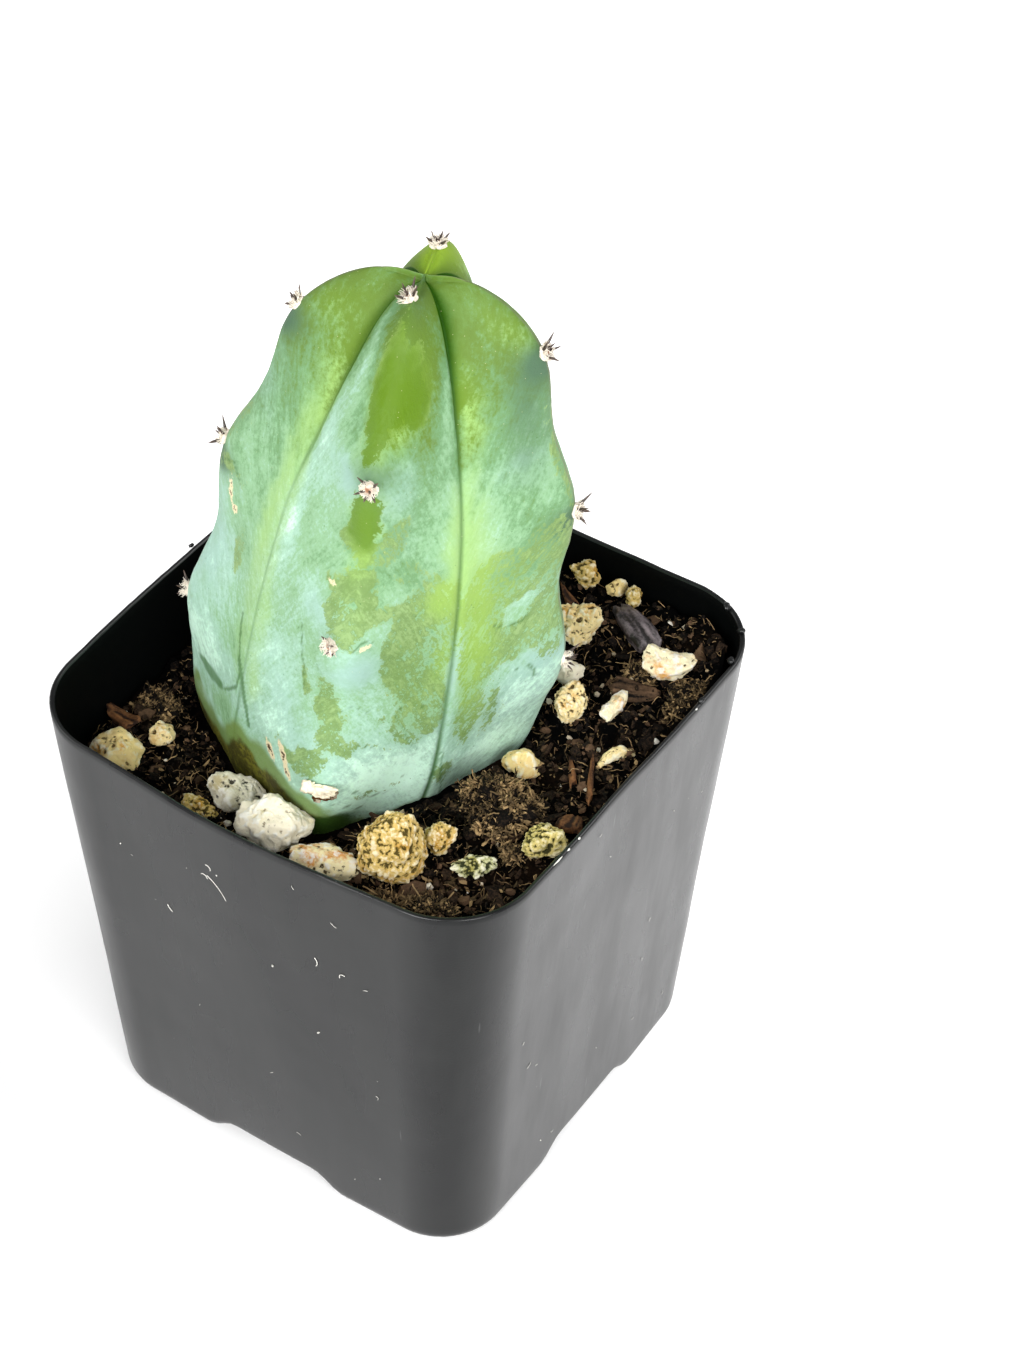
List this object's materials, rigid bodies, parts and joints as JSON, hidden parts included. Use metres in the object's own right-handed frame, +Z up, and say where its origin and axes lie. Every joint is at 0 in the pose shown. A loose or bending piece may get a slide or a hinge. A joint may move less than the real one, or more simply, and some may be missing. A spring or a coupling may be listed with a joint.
{
  "type": "potted cactus",
  "caption": "Young ribbed blue myrtle cactus with woolly, short-spined areoles, rooted in pumice-topped soil in a small square black plastic nursery pot.",
  "frame": {"origin": "middle of the outer box's underside, on the surface that the pot's feet stand on", "axes": "+Z up through the plant; +X and -Y square to the two pot sides nearest the plant's front rib"},
  "size_m": [0.0644, 0.0646, 0.1224],
  "materials": {
    "pot_plastic": "satin",
    "soil": "matte",
    "cactus_skin": "matte",
    "felt_and_spines": "matte",
    "pumice_white": "matte",
    "pumice_cream": "matte",
    "pumice_golden": "matte",
    "bark": "matte",
    "wood": "matte"
  },
  "bodies": {
    "root": {"nursery_pot": "pot_plastic", "potting_soil": "soil", "cactus_stem": "cactus_skin", "areole_back_1": "felt_and_spines", "areole_back_2": "felt_and_spines", "areole_back_3": "felt_and_spines", "areole_back_4": "felt_and_spines", "areole_front_1": "felt_and_spines", "areole_front_2": "felt_and_spines", "areole_front_3": "felt_and_spines", "areole_front_4": "felt_and_spines", "areole_left_1": "felt_and_spines", "areole_left_2": "felt_and_spines", "areole_left_3": "felt_and_spines", "areole_right_1": "felt_and_spines", "areole_right_2": "felt_and_spines", "areole_right_3": "felt_and_spines", "bark_dark_right": "bark", "bark_purple_back": "bark", "bark_red_right": "bark", "peat_curl_left": "wood", "peat_lump": "soil", "pumice_arched_right": "pumice_cream", "pumice_cream_left": "pumice_cream", "pumice_cream_right": "pumice_cream", "pumice_crumb_back": "pumice_cream", "pumice_gold_back": "pumice_golden", "pumice_gold_foot": "pumice_golden", "pumice_gold_front": "pumice_golden", "pumice_gold_lobe": "pumice_golden", "pumice_green_front": "pumice_white", "pumice_grey_front": "pumice_white", "pumice_long_right": "pumice_white", "pumice_moss_right": "pumice_golden", "pumice_orange_back": "pumice_cream", "pumice_orange_front": "pumice_cream", "pumice_round_left": "pumice_cream", "pumice_saddle_right": "pumice_white", "pumice_speckled_right": "pumice_cream", "pumice_tan_left": "pumice_cream", "pumice_white_front": "pumice_white", "pumice_white_right": "pumice_white", "wood_sliver_back": "wood", "wood_sliver_right_1": "wood", "wood_sliver_right_2": "wood"}
  },
  "joints": []
}
